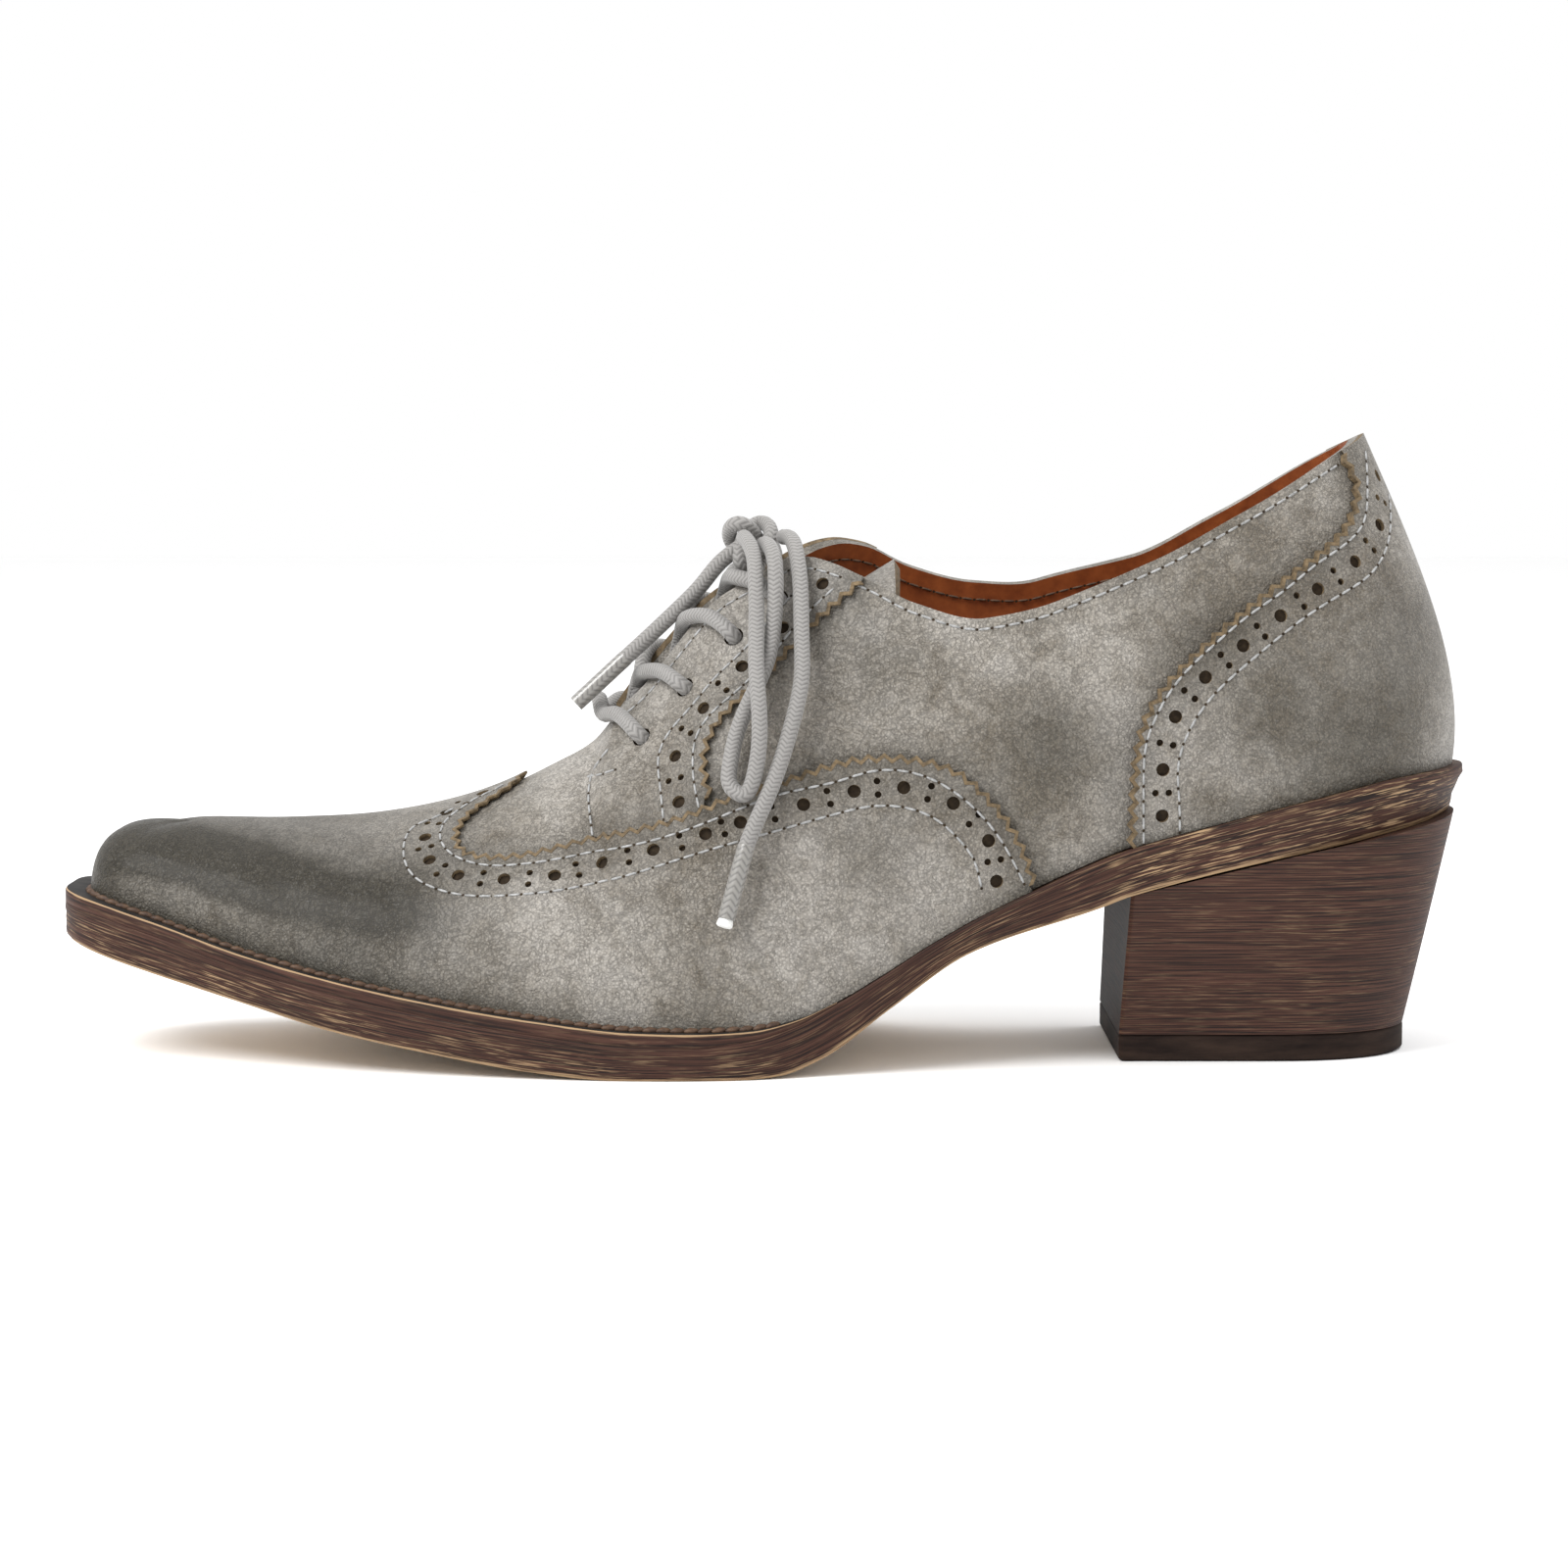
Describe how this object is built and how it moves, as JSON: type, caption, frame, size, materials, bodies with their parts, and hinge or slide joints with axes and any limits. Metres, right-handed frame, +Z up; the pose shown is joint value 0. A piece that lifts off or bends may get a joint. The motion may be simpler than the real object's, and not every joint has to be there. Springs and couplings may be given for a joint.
{
  "type": "heeled oxford shoe",
  "caption": "Left heeled lace-up brogue shoe: pointed square toe, wing cap, low collar, facings over a tongue, bow of laces, slim welted sole and slanted block heel.",
  "frame": {"origin": "on the floor, under the middle of the whole sole's length and of the last's centre line", "axes": "+X from toe to heel, +Y from the outer to the inner side of this left shoe, +Z up"},
  "size_m": [0.2766, 0.0916, 0.1216],
  "materials": {
    "upper_leather": "waxed full-grain leather with a faint sheen and burnished patches",
    "overlay_leather": "waxed leather with pinked edges",
    "welt_leather": "smooth dark leather strip",
    "sole_leather": "dark brown edge with fine lengthwise grain, brushed tan",
    "heel_stack": "dark brown stacked heel with fine level grain",
    "lift_rubber": "hard dark rubber",
    "lining_leather": "orange-brown lining leather",
    "lace_cotton": "round waxed cotton braid"
  },
  "bodies": {
    "root": {"outsole": "sole_leather", "welt": "welt_leather", "heel": "heel_stack", "top_lift": "lift_rubber", "insole": "lining_leather", "upper": "upper_leather", "wing_cap": "overlay_leather", "counter": "overlay_leather", "eyestay_outer": "overlay_leather", "eyestay_inner": "overlay_leather", "tongue": "upper_leather", "lace_crossing_1": "lace_cotton", "lace_crossing_2": "lace_cotton", "lace_crossing_3": "lace_cotton", "lace_crossing_4": "lace_cotton", "lace_knot": "lace_cotton", "lace_loop_outer": "lace_cotton", "lace_loop_inner": "lace_cotton", "lace_end_side": "lace_cotton", "lace_end_front": "lace_cotton"}
  },
  "joints": []
}
